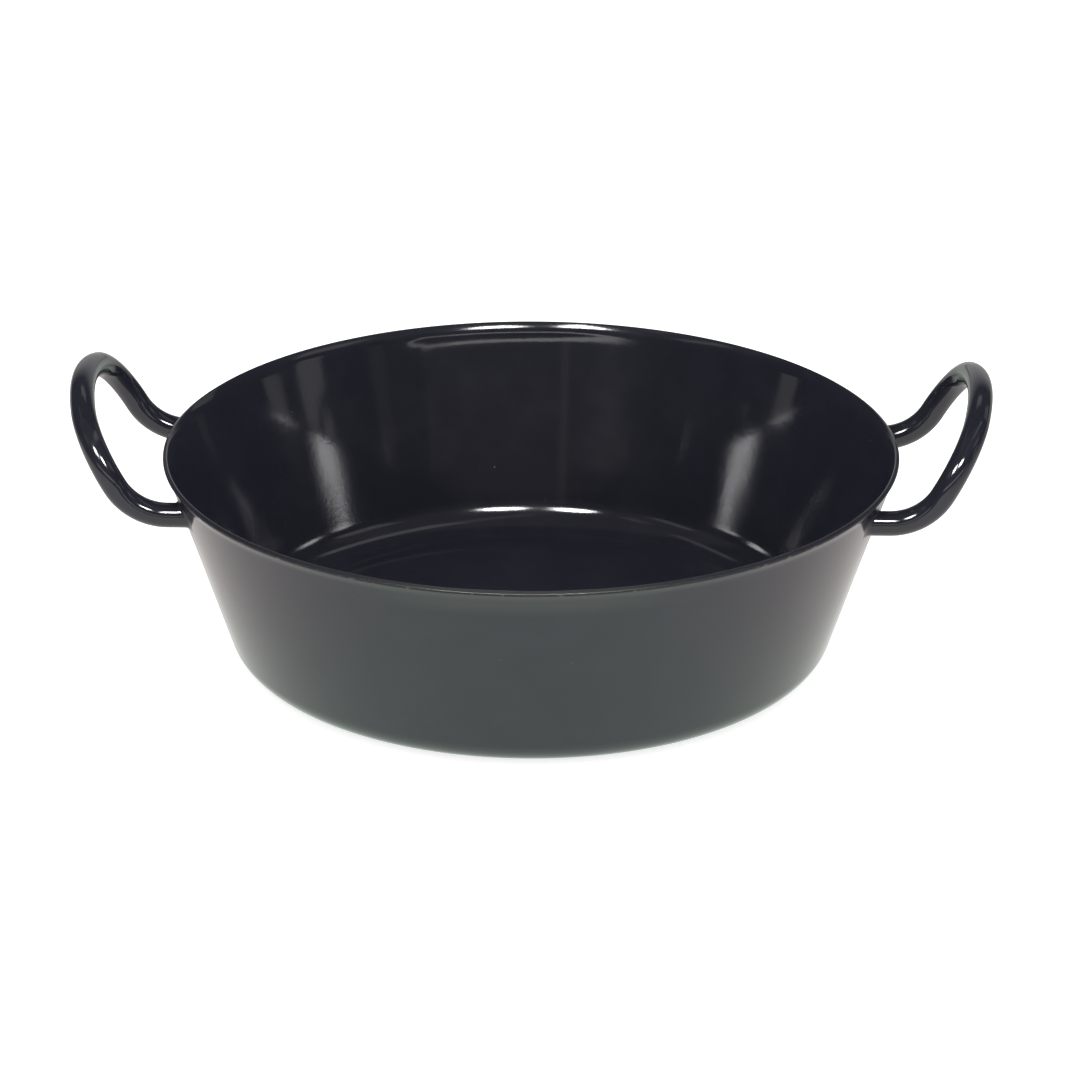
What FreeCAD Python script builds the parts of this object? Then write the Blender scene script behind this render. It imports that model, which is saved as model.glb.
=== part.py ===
"""Enamelled schnitzel pan: a bowl drawn from one steel sheet and two bent rod handles.

The origin is the middle of the base, on the table. +Z is up and +X runs through the handles.
Lengths are in millimetres and angles in degrees.
"""
import FreeCAD, Part
import math
import os

from FreeCAD import Vector

# Bowl
RIM_DIAMETER = 280.0  # across the outside of the lip
BOWL_HEIGHT = 81.4  # from the table to the top of the lip
SHEET_THICKNESS = 1.9  # steel with its enamel on both sides
WALL_LEAN = 18.25  # of the straight wall, from the vertical
LIP_LEAN = 36.0  # of the sheet at the lip, from the vertical
FLARE_RADIUS = 15.0  # middle of the sheet, where the wall turns out to the lip
CORNER_RADIUS = 14.2  # outside of the round corner between base and wall
INNER_CORNER_RADIUS = 16.0  # inside of that corner, where the enamel gathers
STANDING_RING_WIDTH = 16.0  # flat ring that the pan stands on
BASE_RISE = 0.4  # the middle of the base stands this clear of the table

# Handles
ROD_DIAMETER = 9.4
LEG_SPACING = 87.6  # between the middles of a handle's two legs
LEG_DROP = 11.5  # from the top of the lip down to the middle of a leg
LEG_RUN = 6.5  # straight leg, from the wall to its bend
LEG_BEND_RADIUS = 22.5  # middle of the rod, where the leg turns up
LOOP_TILT = 60.0  # of the loop, above the horizontal
CORNER_BEND_RADIUS = 27.7  # middle of the rod, where the loop turns to the grip
CORNER_TURN = 70.2  # taken by each corner bend; the bowed grip takes the rest
WELD_RADIUS = 1.6  # hollow fillet of weld and enamel round the foot of each leg
WELD_EDGE = 0.25  # thickness of that fillet where it ends on the wall

ORIGIN = Vector(0, 0, 0)
UP = Vector(0, 0, 1)
SIDEWAYS = Vector(0, 1, 0)


def across(lean):
    """Unit vector straight out of the outer face of a sheet that leans outwards by this angle."""
    return Vector(math.cos(math.radians(lean)), 0, -math.sin(math.radians(lean)))


def turned_arc(centre, radius, start, end):
    """Arc whose points lie from the centre by the radius times across, for leans start to end."""
    leans = (start, (start + end) / 2, end)
    return Part.Arc(*[centre + across(lean) * radius for lean in leans]).toShape()


def line(start, end):
    """Straight edge between two points."""
    return Part.LineSegment(start, end).toShape()


# Section of the bowl, in the XZ plane
HALF_SHEET = SHEET_THICKNESS / 2
LIP_CENTRE = Vector(RIM_DIAMETER / 2 - HALF_SHEET, 0, BOWL_HEIGHT - HALF_SHEET)
FLARE_CENTRE = LIP_CENTRE + across(LIP_LEAN) * FLARE_RADIUS
WALL_TOP = FLARE_CENTRE - across(WALL_LEAN) * (FLARE_RADIUS - HALF_SHEET)


def wall_radius(height):
    """Outside radius of the straight wall, or of the cone that it lies on, at this height."""
    return WALL_TOP.x + (height - WALL_TOP.z) * math.tan(math.radians(WALL_LEAN))


def corner_centre(radius, depth):
    """Centre of a corner arc whose ends touch the base and the wall at this depth in the sheet."""
    height = depth + radius
    inset = height / math.cos(math.radians(WALL_LEAN))
    return Vector(wall_radius(height) - inset, 0, height)


CORNER_CENTRE = corner_centre(CORNER_RADIUS, 0)
INNER_CORNER_CENTRE = corner_centre(INNER_CORNER_RADIUS, SHEET_THICKNESS)
RING_INSIDE = CORNER_CENTRE.x - STANDING_RING_WIDTH


def dish_arc(lift):
    """Shallow arc from the inside of the standing ring to the axis, raised by lift."""
    dish_radius = (RING_INSIDE**2 + BASE_RISE**2) / (2 * BASE_RISE)
    half_angle = math.asin(RING_INSIDE / dish_radius) / 2
    edge = Vector(RING_INSIDE, 0, lift)
    top = Vector(0, 0, lift + BASE_RISE)
    sag = dish_radius * (1 - math.cos(half_angle))
    middle = Vector(dish_radius * math.sin(half_angle), 0, top.z - sag)
    return Part.Arc(edge, middle, top).toShape()


def outer_edges():
    """The section's outer face: dished base, standing ring, corner, wall and flare."""
    wall_bottom = CORNER_CENTRE + across(WALL_LEAN) * CORNER_RADIUS
    return [
        dish_arc(0),
        line(Vector(RING_INSIDE, 0, 0), Vector(CORNER_CENTRE.x, 0, 0)),
        turned_arc(CORNER_CENTRE, CORNER_RADIUS, 90, WALL_LEAN),
        line(wall_bottom, WALL_TOP),
        turned_arc(FLARE_CENTRE, HALF_SHEET - FLARE_RADIUS, WALL_LEAN, LIP_LEAN),
    ]


def inner_edges():
    """The section's inner face: flare, wall, corner, floor ring and dished floor."""
    centre = INNER_CORNER_CENTRE
    wall_top = WALL_TOP - across(WALL_LEAN) * SHEET_THICKNESS
    wall_bottom = centre + across(WALL_LEAN) * INNER_CORNER_RADIUS
    floor = SHEET_THICKNESS
    return [
        turned_arc(FLARE_CENTRE, -HALF_SHEET - FLARE_RADIUS, LIP_LEAN, WALL_LEAN),
        line(wall_top, wall_bottom),
        turned_arc(centre, INNER_CORNER_RADIUS, WALL_LEAN, 90),
        line(Vector(centre.x, 0, floor), Vector(RING_INSIDE, 0, floor)),
        dish_arc(floor),
    ]


def turn_about_axis(edges):
    """Solid made by turning a closed section once about the axis."""
    return Part.Face(Part.Wire(edges)).revolve(ORIGIN, UP, 360)


def pan_bowl():
    """The drawn bowl: one sheet from the dished base to the half-round lip."""
    lip = turned_arc(LIP_CENTRE, HALF_SHEET, LIP_LEAN, LIP_LEAN - 180)
    on_axis = line(Vector(0, 0, SHEET_THICKNESS + BASE_RISE), Vector(0, 0, BASE_RISE))
    return turn_about_axis(outer_edges() + [lip] + inner_edges() + [on_axis])


def filled_bowl():
    """The bowl filled level with its rim, as the tool that trims the handles."""
    lip = turned_arc(LIP_CENTRE, HALF_SHEET, LIP_LEAN, -90)
    level = line(LIP_CENTRE + UP * HALF_SHEET, Vector(0, 0, BOWL_HEIGHT))
    on_axis = line(Vector(0, 0, BOWL_HEIGHT), Vector(0, 0, BASE_RISE))
    return turn_about_axis(outer_edges() + [lip, level, on_axis])


# Middle line of the right handle's rod, which starts inside the wall and is trimmed later
LEG_HEIGHT = BOWL_HEIGHT - LEG_DROP
LEG_OFFSET = LEG_SPACING / 2
FOOT_X = math.sqrt(wall_radius(LEG_HEIGHT) ** 2 - LEG_OFFSET**2)
ROOT = Vector(FOOT_X - 1.5 * ROD_DIAMETER, LEG_OFFSET, LEG_HEIGHT)
LOOP_UP = Vector(math.cos(math.radians(LOOP_TILT)), 0, math.sin(math.radians(LOOP_TILT)))


def loop_direction(turn):
    """Unit vector from a bend's centre to the rod, in the loop's plane, after this much turn."""
    return LOOP_UP * math.sin(math.radians(turn)) + SIDEWAYS * math.cos(math.radians(turn))


def handle_path():
    """Two legs bent up into the tilted loop, two corners and one bowed grip between them."""
    bend_start = Vector(FOOT_X + LEG_RUN, LEG_OFFSET, LEG_HEIGHT)
    bend_centre = bend_start + UP * LEG_BEND_RADIUS
    bend_end = bend_centre + across(90 - LOOP_TILT) * LEG_BEND_RADIUS
    corner_centre = bend_end - SIDEWAYS * CORNER_BEND_RADIUS
    corner_middle = corner_centre + loop_direction(CORNER_TURN / 2) * CORNER_BEND_RADIUS
    grip_start = corner_centre + loop_direction(CORNER_TURN) * CORNER_BEND_RADIUS
    half = [
        line(ROOT, bend_start),
        turned_arc(bend_centre, LEG_BEND_RADIUS, 90, 90 - LOOP_TILT),
        Part.Arc(bend_end, corner_middle, grip_start).toShape(),
    ]
    grip_radius = grip_start.y / math.cos(math.radians(CORNER_TURN))
    grip_centre = grip_start - loop_direction(CORNER_TURN) * grip_radius
    grip_end = grip_start - SIDEWAYS * (2 * grip_start.y)
    grip = Part.Arc(grip_start, grip_centre + LOOP_UP * grip_radius, grip_end).toShape()
    other_half = [edge.mirror(ORIGIN, SIDEWAYS) for edge in reversed(half)]
    return Part.Wire(half + [grip] + other_half)


def bent_rod():
    """The round rod along the whole path, with both ends still inside the wall."""
    section = Part.Circle(ROOT, Vector(1, 0, 0), ROD_DIAMETER / 2).toShape()
    return handle_path().makePipeShell([Part.Wire(section)], True, False)


def weld_seat():
    """Cone just under the wall's outer face, on which the weld fillets run out."""
    sink = WELD_EDGE / math.cos(math.radians(WALL_LEAN))
    low = LEG_HEIGHT - 2 * ROD_DIAMETER
    high = LIP_CENTRE.z
    return Part.makeCone(wall_radius(low) - sink, wall_radius(high) - sink, high - low, UP * low)


def is_foot_edge(edge):
    """True for an edge where a leg meets the weld seat."""
    box = edge.BoundBox
    beside_leg = abs(abs(box.Center.y) - LEG_OFFSET) < ROD_DIAMETER
    level_with_leg = abs(box.Center.z - LEG_HEIGHT) < ROD_DIAMETER
    return beside_leg and level_with_leg and abs(box.Center.x - FOOT_X) < ROD_DIAMETER / 2


def right_handle():
    """Rod with its weld fillets, trimmed so that both feet sit on the bowl's outer face."""
    joined = weld_seat().fuse(bent_rod())
    foot_edges = [edge for edge in joined.Edges if is_foot_edge(edge)]
    return joined.makeFillet(WELD_RADIUS, foot_edges).cut(filled_bowl())


def write_parts():
    """Builds every piece and writes one file for each."""
    handle = right_handle()
    pieces = {
        "pan_bowl": pan_bowl(),
        "right_handle": handle,
        "left_handle": handle.mirror(ORIGIN, Vector(1, 0, 0)),
    }
    os.makedirs("parts", exist_ok=True)
    for name, shape in pieces.items():
        shape.Solids[0].exportStep("parts/" + name + ".step")
        print(name, len(shape.Solids), "solid,", round(shape.Volume / 1000, 2), "cm3")


write_parts()
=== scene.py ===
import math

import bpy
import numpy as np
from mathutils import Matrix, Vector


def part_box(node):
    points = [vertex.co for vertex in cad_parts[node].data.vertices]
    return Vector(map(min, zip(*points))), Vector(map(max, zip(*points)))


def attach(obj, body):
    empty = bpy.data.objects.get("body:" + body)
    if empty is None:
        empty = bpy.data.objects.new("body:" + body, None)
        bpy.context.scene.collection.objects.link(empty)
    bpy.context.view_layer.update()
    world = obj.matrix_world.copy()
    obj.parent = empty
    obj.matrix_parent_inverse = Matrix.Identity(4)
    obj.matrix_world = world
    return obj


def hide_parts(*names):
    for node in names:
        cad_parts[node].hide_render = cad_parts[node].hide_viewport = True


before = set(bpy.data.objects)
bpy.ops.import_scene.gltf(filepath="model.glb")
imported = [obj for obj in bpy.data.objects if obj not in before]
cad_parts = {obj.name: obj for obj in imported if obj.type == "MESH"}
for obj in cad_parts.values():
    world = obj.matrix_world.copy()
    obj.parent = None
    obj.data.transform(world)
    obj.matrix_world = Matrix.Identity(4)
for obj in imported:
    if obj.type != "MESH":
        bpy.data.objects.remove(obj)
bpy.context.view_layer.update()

# %% [markdown]
# A schnitzel pan in black enamel.
# The real pan is one disc of sheet steel, drawn into a bowl whose rim flares out, and two
# steel rods, each bent into a loop and welded on under the lip. The whole is then dipped in glass
# enamel and fired. So there are only three forms here, and almost all that the eye sees is what
# the glass mirrors: the form has to be smooth and exact, and the light has to be the right light.

MM = 0.001

# %% [markdown]
# The sizes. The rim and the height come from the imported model, so that the dressed bowl stays
# where the solid one is. The others are the sizes a toolmaker would give to the drawing die and
# to the bending jig: the thickness of the sheet, the lean of the wall and the radii of the bends.
# Angles of lean are measured from the vertical.

# %% Sizes of the bowl
bowl_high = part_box("pan_bowl")[1]
RIM_RADIUS = bowl_high.x
BOWL_HEIGHT = bowl_high.z
SHEET = 1.9 * MM
HALF_SHEET = SHEET / 2
WALL_LEAN = math.radians(18.25)
LIP_LEAN = math.radians(36)
FLARE_RADIUS = 15 * MM
CORNER_RADIUS = 14.2 * MM
STANDING_RING_WIDTH = 16 * MM
BASE_RISE = 0.4 * MM
INNER_CORNER_RADIUS = 16 * MM
# The neck inside under the rear rim: its place under the lip, its reach up and down, how far it
# turns the wall, and how far one end of it lies higher
NECK_DROP = 5.05 * MM
NECK_ABOVE = 3.0 * MM
NECK_BELOW = 1.9 * MM
NECK_TURN = math.radians(7.5)
NECK_CLIMB = 0.8 * MM
UPRIGHT = math.pi / 2
print("rim radius and height:", round(RIM_RADIUS / MM, 2), round(BOWL_HEIGHT / MM, 2), "mm")

# %% Sizes of the handles
ROD_RADIUS = 4.7 * MM
LEG_OFFSET = 43.8 * MM
LEG_DROP = 11.5 * MM
LEG_RUN = 6.5 * MM
LEG_BEND_RADIUS = 22.5 * MM
LOOP_TILT = math.radians(60)
CORNER_BEND_RADIUS = 27.7 * MM
CORNER_TURN = math.radians(70.2)
WELD_RADIUS = 1.6 * MM
LEG_HEIGHT = BOWL_HEIGHT - LEG_DROP
print("legs leave the wall", round(LEG_HEIGHT / MM, 1), "mm above the table")

# %% [markdown]
# Every surface here is a grid of points: rows one way, columns the other. One helper turns such a
# grid into a closed mesh. The columns always run round a loop, so the last column joins the first
# one, and a single point closes each end of the rows. The faces are worked out as whole arrays,
# which takes a moment even for a hundred thousand of them.

# %% From a grid of points to a closed mesh


def closed_grid(name, rings, first_point, last_point):
    """Mesh over rings of points, shape (rows, columns, 3), closed by one point at each end.

    The quad between two rows and two columns is (row, column), (row, column + 1),
    (row + 1, column + 1), (row + 1, column), with the column after the last being the first.
    The end points are joined to the first and the last row by fans of triangles.
    """
    rows, columns = rings.shape[:2]
    points = np.concatenate([rings.reshape(-1, 3), [first_point, last_point]])
    near = np.arange(rows * columns).reshape(rows, columns)
    far = np.roll(near, -1, axis=1)
    quads = np.stack([near[:-1], far[:-1], far[1:], near[1:]], axis=-1).reshape(-1, 4)
    first, last = rows * columns, rows * columns + 1
    start_fan = np.stack([np.full(columns, first), far[0], near[0]], axis=-1)
    end_fan = np.stack([np.full(columns, last), near[-1], far[-1]], axis=-1)
    mesh = bpy.data.meshes.new(name)
    faces = quads.tolist() + start_fan.tolist() + end_fan.tolist()
    mesh.from_pydata(points.tolist(), [], faces)
    mesh.shade_smooth()
    piece = bpy.data.objects.new(name, mesh)
    bpy.context.scene.collection.objects.link(piece)
    print(name, "has", len(faces), "faces")
    return piece


# %% [markdown]
# The bowl is a surface of revolution, as it comes out of round tools. Its section could be drawn
# by hand with a curve, but a drawn sheet is made of straight runs and true arcs that meet without
# a corner, and in a glossy skin any other curve shows at once as a kink in the reflections. So
# the section is put together from arcs about known centres, first up the outside and then down
# the inside. Glass runs into the inner corner before it sets, so that corner is rounder than the
# steel behind it. The lip is the sheet's own cut edge, trimmed square after drawing: a narrow flat
# band with a tight corner outside and a rounder one inside. A half round would be simpler to draw,
# but it would mirror one bright line all round, where the real lip shows a dark grey band.

# %% The section of the bowl


def across(lean):
    """Unit vector (radius, height) that points squarely out of a sheet with this lean."""
    return np.stack([np.cos(lean), -np.sin(lean)], axis=-1)


def arc(centre, radius, start, end, steps):
    """Points at the centre plus radius times across(lean), for leans from start to end."""
    return centre + radius * across(np.linspace(start, end, steps + 1))[1:]


def run(start, end, steps):
    """Points on the straight line from start to end, without the start itself."""
    share = np.linspace(0, 1, steps + 1)[1:, None]
    return np.asarray(start) * (1 - share) + np.asarray(end) * share


LIP_CENTRE = np.array([RIM_RADIUS - HALF_SHEET, BOWL_HEIGHT - HALF_SHEET])
FLARE_CENTRE = LIP_CENTRE + FLARE_RADIUS * across(LIP_LEAN)
WALL_TOP = FLARE_CENTRE - (FLARE_RADIUS - HALF_SHEET) * across(WALL_LEAN)


def wall_radius(height):
    """Outside radius of the straight wall at a height: a line that leans out by WALL_LEAN."""
    return WALL_TOP[0] + (height - WALL_TOP[1]) * math.tan(WALL_LEAN)


def corner_centre(radius, bottom, skin):
    """Centre of a corner arc that touches a level face and a wall face lying skin inside."""
    height = bottom + radius
    return np.array([wall_radius(height) - (radius + skin) / math.cos(WALL_LEAN), height])


CORNER_CENTRE = corner_centre(CORNER_RADIUS, 0, 0)
INNER_CORNER_CENTRE = corner_centre(INNER_CORNER_RADIUS, SHEET, SHEET)
RING_INSIDE = CORNER_CENTRE[0] - STANDING_RING_WIDTH
print("corner centre at", CORNER_CENTRE.round(4), "m, ring inside", round(RING_INSIDE, 4), "m")


# %% Outer face, inner face and lip
DISH_STEPS = 14
RING_STEPS = 5
CORNER_STEPS = 24
WALL_STEPS = 40
FLARE_STEPS = 12
LIP_STEPS = 10
# The cut edge lies this far beyond LIP_CENTRE, and these are the radii of its two corners
LIP_REACH = 0.69 * MM
LIP_OUTER_ROUND = 0.35 * MM
LIP_INNER_ROUND = 0.55 * MM


def dish(lift):
    """Shallow cap from near the axis to the ring: height falls with the square of the radius."""
    radius = np.linspace(0, RING_INSIDE, DISH_STEPS + 1)[1:]
    rise = BASE_RISE * (1 - (radius / RING_INSIDE) ** 2)
    return np.stack([radius, lift + rise], axis=-1)


def outer_section():
    """Outside of the sheet from the base to the lip: cap, flat ring, corner, wall, flare."""
    corner_out = CORNER_CENTRE + CORNER_RADIUS * across(WALL_LEAN)
    return np.concatenate([
        dish(0),
        run([RING_INSIDE, 0], [CORNER_CENTRE[0], 0], RING_STEPS),
        arc(CORNER_CENTRE, CORNER_RADIUS, UPRIGHT, WALL_LEAN, CORNER_STEPS),
        run(corner_out, WALL_TOP, WALL_STEPS),
        arc(FLARE_CENTRE, HALF_SHEET - FLARE_RADIUS, WALL_LEAN, LIP_LEAN, FLARE_STEPS),
    ])


def inner_section():
    """Inside of the sheet from the lip to the floor: flare, wall, corner, flat ring, cap."""
    radius, centre = INNER_CORNER_RADIUS, INNER_CORNER_CENTRE
    wall_top = WALL_TOP - SHEET * across(WALL_LEAN)
    wall_bottom = centre + radius * across(WALL_LEAN)
    return np.concatenate([
        arc(FLARE_CENTRE, -HALF_SHEET - FLARE_RADIUS, LIP_LEAN, WALL_LEAN, FLARE_STEPS),
        run(wall_top, wall_bottom, WALL_STEPS),
        arc(centre, radius, WALL_LEAN, UPRIGHT, CORNER_STEPS),
        run([centre[0], SHEET], [RING_INSIDE, SHEET], RING_STEPS),
        dish(SHEET)[-2::-1],
    ])


def lip_section():
    """Cut edge of the sheet, square to it, between a tight outer and a rounder inner corner."""
    out, along = across(LIP_LEAN), across(LIP_LEAN - UPRIGHT)
    outer, inner = LIP_OUTER_ROUND, LIP_INNER_ROUND
    outer_centre = LIP_CENTRE + (HALF_SHEET - outer) * out + (LIP_REACH - outer) * along
    inner_centre = LIP_CENTRE - (HALF_SHEET - inner) * out + (LIP_REACH - inner) * along
    square = LIP_LEAN - UPRIGHT
    return np.concatenate([
        arc(outer_centre, outer, LIP_LEAN, square, LIP_STEPS),
        arc(inner_centre, inner, square, square - UPRIGHT, LIP_STEPS),
    ])


outside = np.concatenate([outer_section(), lip_section()])
inside = inner_section()
print("the section has", len(outside) + len(inside), "points")

# %% [markdown]
# Turning the section about the axis gives the bowl. Four hundred and twenty steps round make each
# facet about two millimetres wide, so that the rim stays round at any zoom.
#
# No drawn bowl is perfectly round. Under the rear rim the sheet sprang back into a shallow neck,
# some 0.6 millimetre deep, and that is why the long bar mirrored there closes into a flat ring.
# A dent could be painted on as a bump, but it is wide and slow, and a bump that wide no longer
# moves the reflections as the form does. So the radius itself changes a little, in the same grid.

# %% The bowl
BOWL_COLUMNS = 420
BOWL_TURN = np.linspace(0, 2 * math.pi, BOWL_COLUMNS, endpoint=False)
# Turns in degrees over which the neck fades in, fades out and climbs
NECK_START = (68, 86)
NECK_END = (114.8, 110.2)
CLIMB_SPAN = (95, 78)


def turned(section, swell):
    """Rings from a section: (radius cos turn, radius sin turn, height) for turns round the axis."""
    radius = section[:, :1] + swell + 0 * BOWL_TURN
    level = section[:, 1:] + 0 * BOWL_TURN
    return np.stack([radius * np.cos(BOWL_TURN), radius * np.sin(BOWL_TURN), level], axis=-1)


def smooth(value, start, end):
    """Smooth step: 3 s squared minus 2 s cubed, with s the share of the way, held to 0 and 1."""
    share = np.clip((value - start) / (end - start), 0, 1)
    return share**2 * (3 - 2 * share)


def neck_swell(section):
    """What the neck adds to the radius, for each point of a section and each turn.

    It is NECK_TURN times (NECK_ABOVE - reach tanh((height - neck) / reach)), where reach is
    NECK_ABOVE over the neck and NECK_BELOW under it. It fades out down the wall and round it, and
    the neck climbs by NECK_CLIMB towards the end where it fades slowly.
    """
    turn = np.degrees(BOWL_TURN)
    share = smooth(turn, *NECK_START) * smooth(turn, *NECK_END)
    neck = BOWL_HEIGHT - NECK_DROP + NECK_CLIMB * smooth(turn, *CLIMB_SPAN)
    height = section[:, 1:]
    reach = np.where(height > neck, NECK_ABOVE, NECK_BELOW)
    swell = NECK_TURN * (NECK_ABOVE - reach * np.tanh((height - neck) / reach))
    fade = np.clip((height - CORNER_RADIUS) / (neck - CORNER_RADIUS), 0, 1)
    return swell * fade * share


base_middle = (0, 0, BASE_RISE)
floor_middle = (0, 0, SHEET + BASE_RISE)
rings = np.concatenate([turned(outside, 0), turned(inside, neck_swell(inside))])
bowl = closed_grid("enamelled_bowl", rings, base_middle, floor_middle)

# %% [markdown]
# Each handle is a straight steel rod, bent in a jig. Its middle line is made of straight runs and
# arcs: a leg out of the wall, a bend that turns up into the tilted loop, a corner, and a wide
# bowed grip. A spline through a few points would be quicker, but a jig leaves true arcs, and the
# long highlights on the rod show the difference. Each point of the path comes with the direction
# in which the rod runs on there.

# %% The leg and its bend
LEG_POINTS = 10
BEND_POINTS = 24
FOOT_X = math.sqrt(wall_radius(LEG_HEIGHT) ** 2 - LEG_OFFSET**2)
BEND_CENTRE = np.array([FOOT_X + LEG_RUN, LEG_OFFSET, LEG_HEIGHT + LEG_BEND_RADIUS])


def leg_line():
    """Leg after its weld: points straight out along X, which is the direction as well."""
    start = FOOT_X + 2 * WELD_RADIUS
    out = np.linspace(start, FOOT_X + LEG_RUN, LEG_POINTS, endpoint=False)
    middle = np.stack([out, out * 0 + LEG_OFFSET, out * 0 + LEG_HEIGHT], axis=-1)
    ahead = np.broadcast_to([1.0, 0.0, 0.0], middle.shape)
    return middle, ahead


def bend_line():
    """Bend in the XZ plane: the direction turns up from level to the tilt of the loop."""
    turn = np.linspace(0, LOOP_TILT, BEND_POINTS, endpoint=False)
    spoke = np.stack([np.sin(turn), turn * 0, -np.cos(turn)], axis=-1)
    ahead = np.stack([np.cos(turn), turn * 0, np.sin(turn)], axis=-1)
    return BEND_CENTRE + LEG_BEND_RADIUS * spoke, ahead


print("the legs leave the wall at X =", round(FOOT_X / MM, 1), "mm")

# %% The corner and the grip
CORNER_POINTS = 28
GRIP_POINTS = 20
SIDEWAYS = np.array([0.0, 1.0, 0.0])
LOOP_UP = np.array([math.cos(LOOP_TILT), 0.0, math.sin(LOOP_TILT)])


def loop_arc(centre, radius, turn):
    """Arc in the plane of the loop: the spoke turns from sideways to up by the angle turn."""
    turn = turn[:, None]
    spoke = LOOP_UP * np.sin(turn) + SIDEWAYS * np.cos(turn)
    ahead = LOOP_UP * np.cos(turn) - SIDEWAYS * np.sin(turn)
    return centre + radius * spoke, ahead


def loop_lines():
    """Corner and half of the bowed grip, whose centre lies in the pan's own XZ plane."""
    tilted = np.array([math.sin(LOOP_TILT), 0.0, -math.cos(LOOP_TILT)])
    bend_end = BEND_CENTRE + LEG_BEND_RADIUS * tilted
    corner_centre = bend_end - SIDEWAYS * CORNER_BEND_RADIUS
    corner = np.linspace(0, CORNER_TURN, CORNER_POINTS, endpoint=False)
    grip_spoke = LOOP_UP * math.sin(CORNER_TURN) + SIDEWAYS * math.cos(CORNER_TURN)
    grip_start = corner_centre + CORNER_BEND_RADIUS * grip_spoke
    grip_radius = grip_start[1] / math.cos(CORNER_TURN)
    grip_centre = grip_start - grip_radius * grip_spoke
    grip = np.linspace(CORNER_TURN, UPRIGHT, GRIP_POINTS + 1)
    print("grip bows with a radius of", round(grip_radius / MM, 1), "mm")
    return [
        loop_arc(corner_centre, CORNER_BEND_RADIUS, corner),
        loop_arc(grip_centre, grip_radius, grip),
    ]


# %% [markdown]
# The second half of the loop is the first one mirrored and run backwards. The sleeve round the
# path also needs two vectors square to the rod. Over points up at the leg, stays square to Y
# through the bend, and is square to the loop's plane from there on. Side is over crossed with the
# direction. Neither twists round the rod, because each bend turns about one of the two.

# %% The whole path with its frames


def handle_frames():
    """Middle points, directions and over vectors from one weld round the loop to the other."""
    parts = [leg_line(), bend_line()] + loop_lines()
    middle = np.concatenate([part[0] for part in parts])
    ahead = np.concatenate([part[1] for part in parts])
    in_loop = np.arange(len(middle)) >= LEG_POINTS + BEND_POINTS
    loop_over = np.cross(LOOP_UP, SIDEWAYS)
    over = np.where(in_loop[:, None], loop_over, np.cross(ahead, SIDEWAYS))
    flip = np.array([1.0, -1.0, 1.0])
    back = slice(-2, None, -1)
    middle = np.concatenate([middle, middle[back] * flip])
    ahead = np.concatenate([ahead, -ahead[back] * flip])
    over = np.concatenate([over, over[back] * flip])
    return middle, ahead, over


handle_middle, handle_ahead, handle_over = handle_frames()
rod_length = np.linalg.norm(np.diff(handle_middle, axis=0), axis=1).sum()
print("rod between the welds:", round(rod_length / MM, 1), "mm")

# %% [markdown]
# Where a leg meets the wall, weld metal and enamel fill the corner with a small hollow fillet,
# and the fillet is never quite even: the enamel gathers in a few soft lumps. So the last rings of
# the rod widen as a quarter round and land on the wall. Each ring point is pushed along the leg
# until it lies on the wall's cone, which fits the foot to the curved wall without any cutting.

# %% Weld feet
ROD_COLUMNS = 72
FILLET_ROWS = 12
# How deep the sleeve's ends hide in the sheet
SINK = 0.3 * MM
# How many lumps stand round the rod, their share of the fillet's radius, and where they start
LUMPS = ((2, 0.22, 0.9), (3, 0.14, 2.3), (5, 0.1, 0.4))


def wall_x(across_y, height):
    """X of the wall's outer face at a given Y and height, from the circle of that height."""
    return np.sqrt(wall_radius(height) ** 2 - across_y**2)


def fillet_size(turn, phase):
    """Fillet radius round the rod: WELD_RADIUS times one plus a few sines of the turn."""
    swell = sum(share * np.sin(count * turn + start + phase) for count, share, start in LUMPS)
    return WELD_RADIUS * (1 + swell)


def foot_rings(turn, phase):
    """Rings from the fillet's edge on the wall out to the rod, for the leg on the +Y side.

    With a from 90 to 0 degrees, a ring has the radius rod + fillet (1 - cos a) and stands
    fillet (1 - sin a) off the wall, measured along the leg.
    """
    lean = np.linspace(UPRIGHT, 0, FILLET_ROWS)[:, None]
    fillet = fillet_size(turn, phase)
    radius = ROD_RADIUS + fillet * (1 - np.cos(lean))
    side = LEG_OFFSET + radius * np.cos(turn)
    height = LEG_HEIGHT + radius * np.sin(turn)
    off = fillet * (1 - np.sin(lean))
    return np.stack([wall_x(side, height) + off, side, height], axis=-1)


# %% [markdown]
# The handle is then one closed sleeve: a point inside the sheet, the sunk edge of the first
# fillet, the fillet, the rod, the other fillet, and again a point inside the sheet. The ends
# hide in the sheet, so that no gap can show and the sleeve is watertight.

# %% The handles


def rod_rings(turn):
    """Rings round the path: middle + rod radius (side cos turn + over sin turn)."""
    side = np.cross(handle_over, handle_ahead)[:, None]
    over = handle_over[:, None]
    spoke = side * np.cos(turn)[:, None] + over * np.sin(turn)[:, None]
    return handle_middle[:, None] + ROD_RADIUS * spoke


def handle_piece(name, sign, phases):
    """Closed sleeve of one handle on the +X side for sign 1, or mirrored to -X for sign -1."""
    turn = np.linspace(0, 2 * math.pi, ROD_COLUMNS, endpoint=False)
    near_foot = foot_rings(turn, phases[0])
    far_foot = foot_rings(turn, phases[1])[::-1] * [1, -1, 1]
    rings = [near_foot, rod_rings(turn), far_foot]
    inwards = np.array([SINK, 0, 0])
    rings = np.concatenate([near_foot[:1] - inwards] + rings + [far_foot[-1:] - inwards])
    start = np.array([FOOT_X - SINK, LEG_OFFSET, LEG_HEIGHT])
    end = start * [1, -1, 1]
    if sign < 0:
        rings = (rings * [-1, 1, 1])[::-1]
        start, end = end * [-1, 1, 1], start * [-1, 1, 1]
    return closed_grid(name, rings, start, end)


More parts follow.
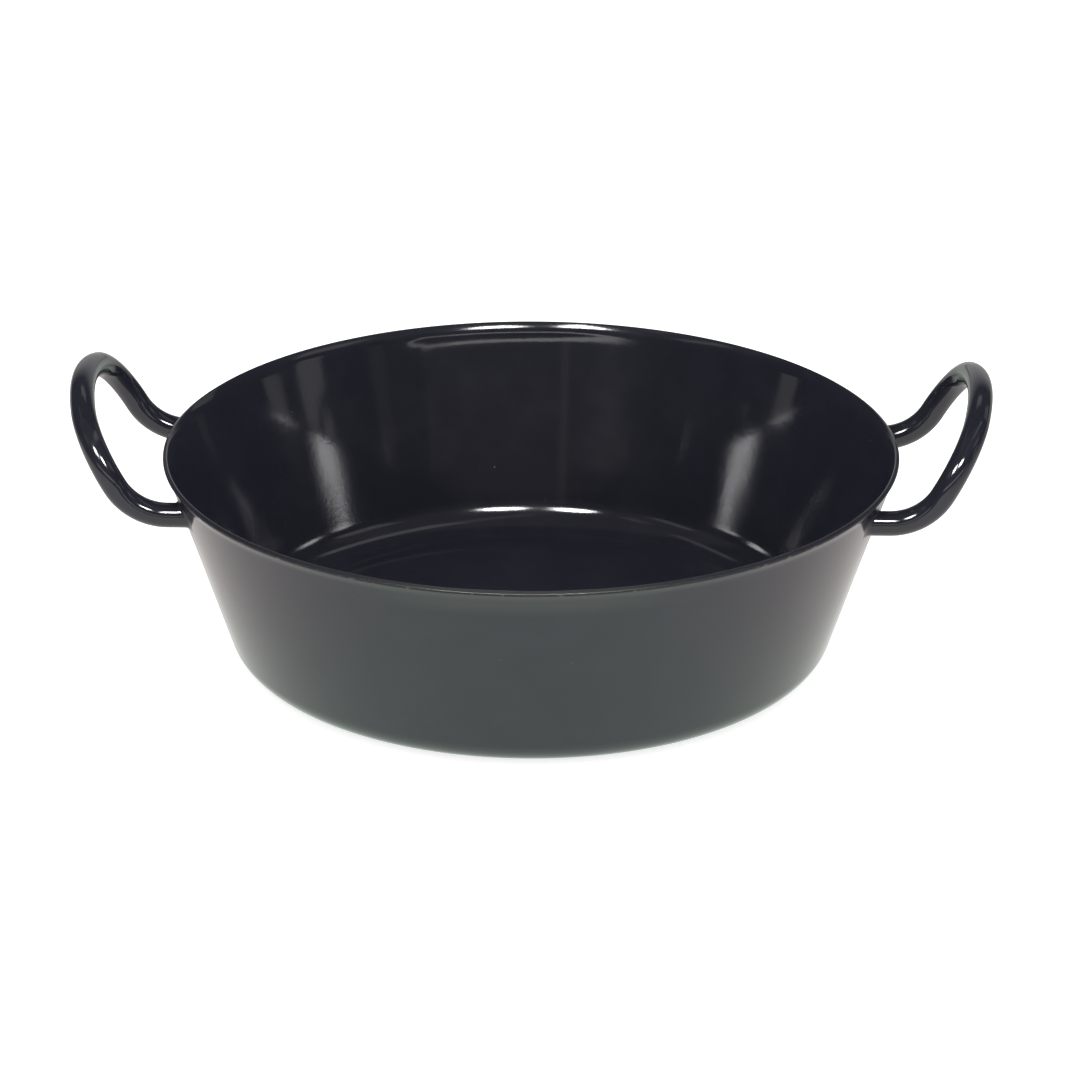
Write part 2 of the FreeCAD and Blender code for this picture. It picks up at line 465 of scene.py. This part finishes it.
right_handle = handle_piece("enamelled_right_handle", 1, (0.0, 1.1))
left_handle = handle_piece("enamelled_left_handle", -1, (2.0, 3.4))

# %% [markdown]
# The enamel. Fired enamel is glass: a black ground seen through a clear, hard gloss. It is never
# optically flat. It has a fine orange peel, a slow waviness from the sheet below, a faint mottling
# of its ground, and here and there a pale speck. Each could be painted on an unwrapped picture of
# the pan, but noise has no seams and stays sharp near by. These go into one node group that every
# enamelled piece uses with its own values. It reads Object coordinates, so that the pattern stays
# put on the piece, and it only puts out a colour, a roughness and a height. The gloss itself comes
# from the glass's refractive index in each material's own shader.

# %% Helpers for node groups


def socket(group, name, kind, value=None, out=False):
    """Adds a named input or output to a node group."""
    made = group.interface.new_socket(
        name, in_out="OUTPUT" if out else "INPUT", socket_type="NodeSocket" + kind
    )
    if value is not None:
        made.default_value = value


def add(tree, kind, settings=None, **values):
    """Adds a node, sets its properties, and sets or links its inputs by name."""
    node = tree.nodes.new("ShaderNode" + kind)
    for name, value in (settings or {}).items():
        setattr(node, name, value)
    for name, value in values.items():
        put(tree, node.inputs[name.replace("_", " ")], value)
    return node


def put(tree, target, value):
    """Links an output socket to the target, or sets the target's own value."""
    if isinstance(value, bpy.types.NodeSocket):
        tree.links.new(value, target)
    else:
        target.default_value = value


def maths(tree, operation, first, second=0.0):
    """One step of arithmetic on two numbers or sockets."""
    node = tree.nodes.new("ShaderNodeMath")
    node.operation = operation
    put(tree, node.inputs[0], first)
    put(tree, node.inputs[1], second)
    return node.outputs[0]


def ramp(tree, value, low, high, to_low=0.0, to_high=1.0):
    """Smooth step of a value between two limits, scaled to two other limits."""
    node = add(
        tree, "MapRange", {"interpolation_type": "SMOOTHSTEP"}, Value=value,
        From_Min=low, From_Max=high, To_Min=to_low, To_Max=to_high,
    )
    return node.outputs["Result"]


def product(tree, *factors):
    """All the factors multiplied together, numbers or sockets."""
    result = factors[0]
    for factor in factors[1:]:
        result = maths(tree, "MULTIPLY", result, factor)
    return result


def mixed(tree, share, first, second):
    """Colour between two: the first one where the share is 0, the second one where it is 1.

    A Mix node set to colours takes them at its sockets 0 for the share, 6 and 7.
    """
    node = add(tree, "Mix", {"data_type": "RGBA"})
    put(tree, node.inputs[0], share)
    put(tree, node.inputs[6], first)
    put(tree, node.inputs[7], second)
    return node.outputs[2]


# %% The enamel skin
# How many swells, clouds and cells with or without a speck a metre holds
SWELL_SCALE = 28.0
CLOUD_SCALE = 55.0
CELL_SCALE = 110.0
# Limits of the cloud's value, over which the ground turns mottled and the gloss falls off
MOTTLE_SPAN = (0.38, 0.66)
GLOSS_SPAN = (0.3, 0.7)
# Radius of the smallest speck, and what the largest one has more, as shares of a cell
SPECK_SIZE = 0.012
SPECK_SPREAD = 0.022
SPECK_DULL = 0.4
PEEL_ROUGHNESS = 0.55
# The swell is this many times as high as the peel
SWELL_HEIGHT = 12.0


def pale_specks(group, place, speck_share):
    """A round spot in a share of the cells, each with a size and a strength of its own."""
    cells = add(group, "TexVoronoi", Vector=place, Scale=CELL_SCALE, Randomness=1.0)
    chance = group.nodes.new("ShaderNodeSeparateColor")
    group.links.new(cells.outputs["Color"], chance.inputs[0])
    picked = maths(group, "LESS_THAN", chance.outputs[0], speck_share)
    more = maths(group, "MULTIPLY", chance.outputs[1], SPECK_SPREAD)
    size = maths(group, "ADD", more, SPECK_SIZE)
    spot = maths(group, "LESS_THAN", cells.outputs["Distance"], size)
    return product(group, spot, picked, chance.outputs[2])


def enamel_skin():
    """Node group: ground colour with mottling and specks, its roughness and its height."""
    group = bpy.data.node_groups.new("Enamel skin", "ShaderNodeTree")
    socket(group, "Ground", "Color", (0.019, 0.019, 0.029, 1))
    socket(group, "Mottle", "Color", (0.0215, 0.0218, 0.0325, 1))
    socket(group, "Speck", "Color", (0.12, 0.12, 0.11, 1))
    socket(group, "Speck share", "Float", 0.5)
    socket(group, "Peel size", "Float", 2.0)
    socket(group, "Gloss low", "Float", 0.07)
    socket(group, "Gloss high", "Float", 0.11)
    socket(group, "Colour", "Color", out=True)
    socket(group, "Roughness", "Float", out=True)
    socket(group, "Height", "Float", out=True)
    given = group.nodes.new("NodeGroupInput").outputs
    result = group.nodes.new("NodeGroupOutput").inputs
    place = group.nodes.new("ShaderNodeTexCoord").outputs["Object"]

    peel_scale = maths(group, "DIVIDE", 1 / MM, given["Peel size"])
    peel = add(
        group, "TexNoise", Vector=place, Scale=peel_scale, Detail=2.0, Roughness=PEEL_ROUGHNESS
    )
    swell = add(group, "TexNoise", Vector=place, Scale=SWELL_SCALE, Detail=1.0)
    cloud = add(group, "TexNoise", Vector=place, Scale=CLOUD_SCALE, Detail=3.0)
    speck = pale_specks(group, place, given["Speck share"])

    mottling = ramp(group, cloud.outputs[0], *MOTTLE_SPAN)
    ground = mixed(group, mottling, given["Ground"], given["Mottle"])
    group.links.new(mixed(group, speck, ground, given["Speck"]), result["Colour"])

    gloss = add(
        group, "MapRange", Value=cloud.outputs[0], From_Min=GLOSS_SPAN[0], From_Max=GLOSS_SPAN[1],
        To_Min=given["Gloss low"], To_Max=given["Gloss high"],
    )
    dull = maths(group, "MULTIPLY", speck, SPECK_DULL)
    rough = maths(group, "ADD", gloss.outputs["Result"], dull)
    group.links.new(rough, result["Roughness"])

    waves = maths(group, "MULTIPLY", swell.outputs[0], SWELL_HEIGHT)
    group.links.new(maths(group, "ADD", peel.outputs[0], waves), result["Height"])
    return group


SKIN = enamel_skin()
print("enamel skin has", len(SKIN.nodes), "nodes")

# %% [markdown]
# The rim has a finish of its own. Over the cut edge the glass thins out and gathers in fine lumps,
# and pans are touched and stacked there, so the lip is duller and sparkles a little. Just under it,
# outside, the glass drew back from the corner, which leaves a thin dull line, nearly black, with a
# few gaps. Below that line a painted highlight makes the colour a shade paler towards the middle of
# the front and of the back, down to where the flare ends. All are found from the place on the bowl:
# the lip by its distance from the axis, the outside by how far a point lies out along the wall, the
# rest by height.

# %% Places on the bowl
OUTSIDE_OFFSET = wall_radius(0)
OUTSIDE_INSET = (1.3 * MM, 0.7 * MM)


def short_of(tree, value, limit, gaps):
    """Smooth step of a value, from 0 at the first gap below a limit to 1 at the second gap."""
    return ramp(tree, value, limit - gaps[0], limit - gaps[1])


def bowl_places(group, place):
    """Distance of a point from the axis, its X, its height, and 1 where it lies outside.

    Outside is told by the distance from the axis less height times the tangent of WALL_LEAN, which
    stays the same all the way up the outer face of the wall.
    """
    flat = add(group, "VectorMath", {"operation": "MULTIPLY"}, Vector=place)
    flat.inputs[1].default_value = (1, 1, 0)
    radius = add(group, "VectorMath", {"operation": "LENGTH"}, Vector=flat.outputs[0])
    radius = radius.outputs["Value"]
    parts = group.nodes.new("ShaderNodeSeparateXYZ")
    group.links.new(place, parts.inputs[0])
    height = parts.outputs["Z"]
    inset = maths(group, "MULTIPLY", height, math.tan(WALL_LEAN))
    offset = maths(group, "SUBTRACT", radius, inset)
    outside = short_of(group, offset, OUTSIDE_OFFSET, OUTSIDE_INSET)
    return radius, parts.outputs["X"], height, outside


print("outer face of the wall, carried down to the table:", round(OUTSIDE_OFFSET / MM, 1), "mm")

# %% The rim's own finish
# Each pair holds where a zone is still at 0 and where it is full. DROP is measured down from the
# top of the lip, HALF_WIDTH from the middle plane, INSET and WIDTH inwards from the rim's radius
# The next two pairs place a painted highlight: the outer flare's colour made paler towards the front
# and back middle
SHEEN_DROP = (12.5 * MM, 6 * MM)
SHEEN_HALF_WIDTH = (75 * MM, 20 * MM)
BARE_DROP = (0.95 * MM, 1.12 * MM)
BARE_INSET = (0.9 * MM, 0.15 * MM)
LIP_WIDTH = (1.6 * MM, 0.9 * MM)
BARE_COLOUR = (0.005, 0.005, 0.005, 1)
BARE_DULL = 0.8
# Noise that breaks the bare line, and the limits from a gap to the full line
BREAK_SCALE = 0.4 / MM
BREAK_SPAN = (0.32, 0.42)
LIP_DULL = 0.3
# Noise of the lip's lumps, which are this many times as high as the peel
GRAIN_SCALE = 1.4 / MM
GRAIN_HEIGHT = 9.0


def rim_finish():
    """Node group: passes a skin on, with a painted highlight band, a bare line and a dull, lumpy
    lip.
    """
    group = bpy.data.node_groups.new("Rim finish", "ShaderNodeTree")
    socket(group, "Skin colour", "Color", (0.02, 0.02, 0.03, 1))
    # The colour below paints a highlight: a paler colour for the outer flare under the lip
    socket(group, "Painted sheen colour", "Color", (0.04, 0.042, 0.044, 1))
    socket(group, "Skin roughness", "Float", 0.08)
    socket(group, "Skin height", "Float", 0.0)
    socket(group, "Colour", "Color", out=True)
    socket(group, "Roughness", "Float", out=True)
    socket(group, "Height", "Float", out=True)
    given = group.nodes.new("NodeGroupInput").outputs
    result = group.nodes.new("NodeGroupOutput").inputs
    place = group.nodes.new("ShaderNodeTexCoord").outputs["Object"]
    radius, x, height, outside = bowl_places(group, place)

    # Painted highlight: the colour turns paler outside, high on the flare, towards the front and
    # back middle
    high = short_of(group, height, BOWL_HEIGHT, SHEEN_DROP)
    middle = ramp(group, maths(group, "ABSOLUTE", x), *SHEEN_HALF_WIDTH)
    painted_sheen = product(group, outside, high, middle)
    colour = mixed(group, painted_sheen, given["Skin colour"], given["Painted sheen colour"])

    under = short_of(group, height, BOWL_HEIGHT, BARE_DROP)
    outmost = short_of(group, radius, RIM_RADIUS, BARE_INSET)
    breaks = add(group, "TexNoise", Vector=place, Scale=BREAK_SCALE, Detail=2.0)
    unbroken = ramp(group, breaks.outputs[0], *BREAK_SPAN)
    bare = product(group, outside, under, outmost, unbroken)
    group.links.new(mixed(group, bare, colour, BARE_COLOUR), result["Colour"])

    lip = short_of(group, radius, RIM_RADIUS, LIP_WIDTH)
    lip_dull = maths(group, "MULTIPLY", lip, LIP_DULL)
    dull = maths(group, "MAXIMUM", lip_dull, maths(group, "MULTIPLY", bare, BARE_DULL))
    group.links.new(maths(group, "MAXIMUM", given["Skin roughness"], dull), result["Roughness"])
    grain = add(group, "TexNoise", Vector=place, Scale=GRAIN_SCALE, Detail=1.0)
    lumps = product(group, lip, grain.outputs[0], GRAIN_HEIGHT)
    group.links.new(maths(group, "ADD", given["Skin height"], lumps), result["Height"])
    return group


RIM = rim_finish()
print("rim finish has", len(RIM.nodes), "nodes")

# %% [markdown]
# Two materials use the skin. The bowl was dipped with the handles, but its sheet is thin and
# flat, so its glass lies smoother and wider. Round a thin rod the glass draws tight, and its peel
# is finer. The black is a little blue in both, as cobalt ground coats are.

# %% Enamel on the bowl and on the handles
GLASS_INDEX = 1.58


def enamel(name, values, bump_depth, with_rim=False):
    """Glossy glass over black: a Principled shader whose index sets the strength of the gloss."""
    material = bpy.data.materials.new(name)
    material.use_nodes = True
    tree = material.node_tree
    shader = tree.nodes["Principled BSDF"]
    shader.inputs["IOR"].default_value = GLASS_INDEX
    skin = tree.nodes.new("ShaderNodeGroup")
    skin.node_tree = SKIN
    for input_name, value in values.items():
        skin.inputs[input_name].default_value = value
    finish = skin
    if with_rim:
        finish = tree.nodes.new("ShaderNodeGroup")
        finish.node_tree = RIM
        for output_name in ("Colour", "Roughness", "Height"):
            target = finish.inputs["Skin " + output_name.lower()]
            tree.links.new(skin.outputs[output_name], target)
    bump = add(tree, "Bump", Distance=bump_depth, Height=finish.outputs["Height"])
    tree.links.new(finish.outputs["Colour"], shader.inputs["Base Color"])
    tree.links.new(finish.outputs["Roughness"], shader.inputs["Roughness"])
    tree.links.new(bump.outputs["Normal"], shader.inputs["Normal"])
    return material


# Height from the lowest to the highest point of the peel
BOWL_PEEL = 0.012 * MM
HANDLE_PEEL = 0.01 * MM
bowl_enamel = enamel("Bowl enamel", {"Peel size": 2.2, "Speck share": 0.35}, BOWL_PEEL, True)
handle_enamel = enamel("Handle enamel", {"Peel size": 1.4, "Speck share": 0.1}, HANDLE_PEEL)
print("enamels:", bowl_enamel.name, "and", handle_enamel.name)

# %% Dressing the pieces


def dress(piece, material, node):
    """Gives a piece its material and its body, and hides the solid it stands for."""
    piece.data.materials.append(material)
    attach(piece, "root")
    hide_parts(node)
    print(piece.name, "wears", material.name)


dress(bowl, bowl_enamel, "pan_bowl")
dress(right_handle, handle_enamel, "right_handle")
dress(left_handle, handle_enamel, "left_handle")

# %% [markdown]
# The studio starts with the table. A glossy black thing is lit by what it mirrors, and the white
# table greys the outer wall all over. A white sheet under lamps would do that too, but its fades
# would change with every lamp. So the sheet shines by itself: the camera sees an even white, while
# the gloss sees a white that is cool near the middle line and warm beside it, and that fades behind
# the pan and far to its sides.

# %% Floor
WHITE = (1, 1, 1, 1)
BLACK = (0, 0, 0, 1)
FLOOR_SIZE = 30.0
FLOOR_WHITE = (0.8, 0.8, 0.8, 1)
FLOOR_GLOW = 0.75
FLOOR_COOL = (0.92, 1.04, 0.94, 1)
FLOOR_WARM = (0.99, 0.94, 0.91, 1)
# Distances from the middle line between which the cool white turns into the warm one
TINT_SPAN = (0.06, 0.17)
# Share of the light that is left close behind the middle of the pan
FLOOR_LEE = 0.65
# For X or Y of the floor: where a fade starts and ends, and the share of the light at either side
FLOOR_FADES = (
    ("Y", 0.05, 0.12, 1.0, FLOOR_LEE),
    ("Y", 0.17, 0.24, 1.0, 0.6),
    ("Y", 0.27, 0.37, 1.0, 1.7),
    ("X", -0.85, -0.5, 0.15, 1.0),
    ("X", 0.15, 0.6, 1.0, 0.6),
)


def floor_material():
    """White for the camera and for matt light, and for the gloss the tint times every fade."""
    material = bpy.data.materials.new("White floor")
    material.use_nodes = True
    tree = material.node_tree
    shader = tree.nodes["Principled BSDF"]
    shader.inputs["Roughness"].default_value = 1.0
    shader.inputs["Specular IOR Level"].default_value = 0.0
    path = tree.nodes.new("ShaderNodeLightPath").outputs
    mirrored = path["Is Glossy Ray"]
    place = tree.nodes.new("ShaderNodeTexCoord").outputs["Object"]
    parts = tree.nodes.new("ShaderNodeSeparateXYZ")
    tree.links.new(place, parts.inputs[0])

    tree.links.new(mixed(tree, mirrored, FLOOR_WHITE, BLACK), shader.inputs["Base Color"])
    beside = ramp(tree, maths(tree, "ABSOLUTE", parts.outputs["X"]), *TINT_SPAN)
    tint = mixed(tree, beside, FLOOR_COOL, FLOOR_WARM)
    tree.links.new(mixed(tree, mirrored, WHITE, tint), shader.inputs["Emission Color"])
    own_light = maths(tree, "MULTIPLY", path["Is Camera Ray"], FLOOR_GLOW)
    fades = [ramp(tree, parts.outputs[axis], *fade) for axis, *fade in FLOOR_FADES]
    mirror_light = product(tree, mirrored, *fades)
    put(tree, shader.inputs["Emission Strength"], maths(tree, "ADD", own_light, mirror_light))
    return material


def white_floor():
    """Level square sheet under the pan, which belongs to the studio and not to the pan."""
    mesh = bpy.data.meshes.new("white_floor")
    half = FLOOR_SIZE / 2
    corners = [(-half, -half, 0), (half, -half, 0), (half, half, 0), (-half, half, 0)]
    mesh.from_pydata(corners, [], [(0, 1, 2, 3)])
    mesh.materials.append(floor_material())
    floor = bpy.data.objects.new("white_floor", mesh)
    bpy.context.scene.collection.objects.link(floor)
    print("the floor is", FLOOR_SIZE, "m wide, with", len(FLOOR_FADES), "fades")


white_floor()

# %% [markdown]
# The room round the pan is only seen in the gloss. In front and above it is dark, which leaves the
# inside of the bowl black, and behind stands the white sweep. A picture of a real room could be
# wrapped round the scene, but a few plain panes give the gloss exactly what it shows: a long
# bright window behind the camera, which draws the bar under the rear rim, dimmer walls beside it,
# a strip of ceiling, and rails of light under the ceiling, which draw the thin lines along the
# inner corner. An even grey room would be less work, but a black gloss with nothing to mirror
# looks like paint.

# %% Panes of the room
PANE_EDGE = 0.014
# Start and end azimuth in radians, with 0 towards the front, and their fade, then the lowest and
# the highest rise of the direction, and the level
ROOM_LIGHTS = (
    (-0.45, 0.45, 0.2, 0.155, 0.215, 2.1),
    (0.3, 0.68, 0.03, 0.155, 0.215, 1.4),
    (0.66, 0.95, 0.03, 0.12, 0.165, 1.3),
    (-0.19, -0.165, 0.035, 0.24, 0.4, 0.22),
    (0.90, 0.97, 0.035, 0.15, 0.3, 0.11),
    (1.30, 1.44, 0.035, 0.06, 0.3, 0.54),
    (1.585, 1.68, 0.035, 0.0, 0.105, 0.4),
    (-1.62, -1.53, 0.035, 0.0, 0.125, 0.38),
    (2.18, 2.36, 0.05, 0.16, 0.5, 0.3),
    (2.85, 3.2, 0.04, 0.665, 0.755, 0.5),
    (-3.2, -2.96, 0.04, 0.665, 0.755, 0.5),
)


def band(tree, value, start, end, edge):
    """1 while a value is between two limits, falling smoothly to 0 within edge beyond each."""
    rise = ramp(tree, value, start - edge, start)
    fall = ramp(tree, value, end + edge, end)
    return maths(tree, "MULTIPLY", rise, fall)


def room_light(tree, azimuth, height, light):
    """A pane of light in the room: a band of azimuth times a band of height, times its level."""
    start, end, fade, lowest, highest, level = light
    upright = band(tree, azimuth, start, end, fade)
    return product(tree, upright, band(tree, height, lowest, highest, PANE_EDGE), level)


print("the room has", len(ROOM_LIGHTS), "panes")

# %% Rails under the ceiling
# On a map of X over height and Y over height: how far a rail runs askew, its two sides and their
# fade, where it starts and ends, and its level
CEILING_RAILS = (
    (0.87, 0.53, 0.64, 0.12, -0.2, 0.4, 0.75),
    (0.87, 0.53, 0.62, 0.1, -0.6, -0.3, 0.35),
    (0.87, 1.75, 2.15, 0.25, -0.6, -0.15, 0.65),
    (0.0, -1.4, -1.22, 0.1, -1.0, -0.5, 0.6),
    (0.0, -0.78, -0.68, 0.06, -0.75, -0.55, 0.4),
    (0.0, -0.71, -0.65, 0.05, 0.0, 0.5, 0.45),
)
RAIL_END_FADE = 0.15
# Rises of the direction between which the rails set in
RAIL_RISE = (0.3, 0.4)


def ceiling_rail(tree, over_x, over_y, rail):
    """A rail of light: a band of X over height less its skew times Y over height, with two ends."""
    skew, low, high, fade, start, end, level = rail
    sideways = maths(tree, "SUBTRACT", over_x, maths(tree, "MULTIPLY", over_y, skew))
    strip = band(tree, sideways, low, high, fade)
    return product(tree, strip, band(tree, over_y, start, end, RAIL_END_FADE), level)


def rail_layers(tree, side, front, height):
    """Every rail, held to directions that point well above the level."""
    over_x, over_y = maths(tree, "DIVIDE", side, height), maths(tree, "DIVIDE", front, height)
    overhead = ramp(tree, height, *RAIL_RISE)
    rails = [ceiling_rail(tree, over_x, over_y, rail) for rail in CEILING_RAILS]
    return [maths(tree, "MULTIPLY", rail, overhead) for rail in rails]


print("and", len(CEILING_RAILS), "rails under its ceiling")

# %% The room as the gloss sees it
# Each pair of limits belongs to a smooth step in the direction's Y, or in its rise for TOP and EDGE
SWEEP_SIDE = (0.8, 0.97)
SWEEP_TOP = (0.62, 0.47)
SWEEP_LEVEL = 0.56
FRONT_SIDE = (-0.5, -1.0)
FRONT_LEVELS = (0.025, 0.09)
CEILING_SIDE = (0.16, 0.02)
CEILING_EDGE = (0.42, 0.52)
CEILING_LEVEL = 0.12


def mirrored_room(tree, side, front, height):
    """Brightest of the white sweep behind, the panes, the rails, the ceiling and the dim front."""
    low = ramp(tree, height, *SWEEP_TOP)
    level = maths(tree, "MULTIPLY", ramp(tree, front, *SWEEP_SIDE, 0.0, SWEEP_LEVEL), low)
    azimuth = maths(tree, "ARCTAN2", side, maths(tree, "MULTIPLY", front, -1.0))
    layers = [room_light(tree, azimuth, height, light) for light in ROOM_LIGHTS]
    layers += rail_layers(tree, side, front, height)
    overhead, ahead = ramp(tree, height, *CEILING_EDGE), ramp(tree, front, *CEILING_SIDE)
    layers.append(product(tree, overhead, ahead, CEILING_LEVEL))
    layers.append(ramp(tree, front, *FRONT_SIDE, *FRONT_LEVELS))
    for layer in layers:
        level = maths(tree, "MAXIMUM", level, layer)
    return level


def studio_world():
    """White for the camera, plain level for matt light, and the room for the gloss."""
    world = bpy.data.worlds.new("Studio")
    bpy.context.scene.world = world
    world.use_nodes = True
    tree = world.node_tree
    background = tree.nodes["Background"]
    path = tree.nodes.new("ShaderNodeLightPath").outputs
    direction = tree.nodes.new("ShaderNodeTexCoord").outputs["Generated"]
    parts = tree.nodes.new("ShaderNodeSeparateXYZ")
    tree.links.new(direction, parts.inputs[0])
    mirrored = mirrored_room(tree, *(parts.outputs[axis] for axis in "XYZ"))
    matt = maths(tree, "SUBTRACT", 1.0, path["Is Glossy Ray"])
    tree.links.new(maths(tree, "MAXIMUM", matt, mirrored), background.inputs["Strength"])
    background.inputs["Color"].default_value = WHITE
    print("the world has", len(tree.nodes), "nodes")


studio_world()

# %% [markdown]
# Two bright soft boxes hang side by side in front of the pan, over the camera's line of sight. They
# draw the brightest spots, and they show from wall to wall inside the bowl as tall pale bands.
# Brighter panes in the room could stand for them, but a pane is endlessly far away. A lamp has a
# place, so that its image shifts along the wall as it should. The cloth of a box dims towards its
# edges, and it bows, so that the upper edge is curved.

# %% Soft boxes
# Y and Z of the point that both are placed from, and the tilt of their plane
BOX_PLACE = np.array([-0.676, 0.69])
BOX_TILT = math.radians(45)
BOX_UP = np.array([math.cos(BOX_TILT), math.sin(BOX_TILT)])
BOX_RADIANCE = 68.0
# How wide the dim edges are, sideways and upwards
BOX_FADE = (0.15, 0.082)
BOX_BOW = 0.3
# The X of both ends, both places up the plane, and the slant of the lower edge
LEFT_BOX = ((-0.43, -0.035), (-0.15, 0.15), 0.3)
RIGHT_BOX = ((-0.02, 0.40), (-0.13, 0.10), 0.0)


def edge_fade(tree, share, softness, start=0.0, bow=0.0):
    """Rises smoothly from 0 at both ends of the span 0 to 1, brought in by start and by bow.

    It is squared, as the light of a cloth dims towards its edges.
    """
    rise = ramp(tree, maths(tree, "SUBTRACT", share, start), 0.0, softness)
    fall = ramp(tree, maths(tree, "ADD", share, bow), 1.0, 1.0 - softness)
    both = maths(tree, "MULTIPLY", rise, fall)
    return maths(tree, "MULTIPLY", both, both)


def cloth_light(tree, size, slant):
    """Level over a cloth, for x across it and y up it, both from 0 to 1.

    The upper edge comes down by 4 BOX_BOW (x - 0.5) squared, which is BOX_BOW at both ends, and
    the lower edge climbs by slant (1 - x). Both are shares of the height.
    """
    across_box = tree.nodes.new("ShaderNodeNewGeometry").outputs["Parametric"]
    place = tree.nodes.new("ShaderNodeSeparateXYZ")
    tree.links.new(across_box, place.inputs[0])
    x, y = place.outputs["X"], place.outputs["Y"]
    off_middle = maths(tree, "SUBTRACT", x, 0.5)
    bow = product(tree, off_middle, off_middle, 4 * BOX_BOW)
    start = maths(tree, "MULTIPLY", maths(tree, "SUBTRACT", 1.0, x), slant)
    sideways = edge_fade(tree, x, BOX_FADE[0] / size[0])
    upwards = edge_fade(tree, y, BOX_FADE[1] / size[1], start, bow)
    return maths(tree, "MULTIPLY", sideways, upwards)


def soft_box(name, sides, span, slant):
    """Area lamp between two X places and two places up its own plane, seen by the gloss only."""
    data = bpy.data.lights.new(name, "AREA")
    data.shape = "RECTANGLE"
    size = (sides[1] - sides[0], span[1] - span[0])
    data.size, data.size_y = size
    data.energy = BOX_RADIANCE * math.pi * size[0] * size[1]
    data.use_nodes = True
    tree = data.node_tree
    tree.links.new(cloth_light(tree, size, slant), tree.nodes["Emission"].inputs["Strength"])
    lamp = bpy.data.objects.new(name, data)
    depth, rise = BOX_PLACE + BOX_UP * sum(span) / 2
    lamp.location = (sum(sides) / 2, depth, rise)
    lamp.rotation_euler = (BOX_TILT, 0, 0)
    lamp.visible_camera = False
    lamp.visible_diffuse = False
    bpy.context.scene.collection.objects.link(lamp)
    print(name, "is", [round(side, 3) for side in size], "m")


soft_box("left_soft_box", *LEFT_BOX)
soft_box("right_soft_box", *RIGHT_BOX)

# %% [markdown]
# The camera stands two metres away with a long lens, 23 degrees above the table, which keeps the
# far and the near rim almost the same width. The pan is turned a degree and a half from it, and
# since the pan keeps to its own axes, the camera goes round it by that angle instead. The colours
# are shown as they are worked out, because a film's curve would turn the white table grey.

# %% Camera and colour
CAMERA_DISTANCE = 2.0
CAMERA_ELEVATION = 0.39697
CAMERA_PIVOT_HEIGHT = 40 * MM
CAMERA_TARGET = Vector((3.466 * MM, 0, 43.213 * MM))
CAMERA_ROLL = 0.00252
CAMERA_TURN = math.radians(1.5)
FOCAL_LENGTH = 173.58
SENSOR_WIDTH = 36.0


def photo_camera():
    """Camera at a distance and elevation from the pivot, aimed at the target, then rolled."""
    data = bpy.data.cameras.new("camera")
    data.lens = FOCAL_LENGTH
    data.sensor_width = SENSOR_WIDTH
    camera = bpy.data.objects.new("camera", data)
    bpy.context.scene.collection.objects.link(camera)
    flat = -CAMERA_DISTANCE * math.cos(CAMERA_ELEVATION)
    high = CAMERA_PIVOT_HEIGHT + CAMERA_DISTANCE * math.sin(CAMERA_ELEVATION)
    place = Vector((0, flat, high))
    aim = (CAMERA_TARGET - place).to_track_quat("-Z", "Y").to_matrix().to_4x4()
    rolled = Matrix.Translation(place) @ aim @ Matrix.Rotation(CAMERA_ROLL, 4, "Z")
    camera.matrix_world = Matrix.Rotation(CAMERA_TURN, 4, "Z") @ rolled
    bpy.context.scene.camera = camera
    print("camera at", [round(value, 3) for value in camera.matrix_world.translation], "m")


photo_camera()
bpy.context.scene.view_settings.view_transform = "Standard"
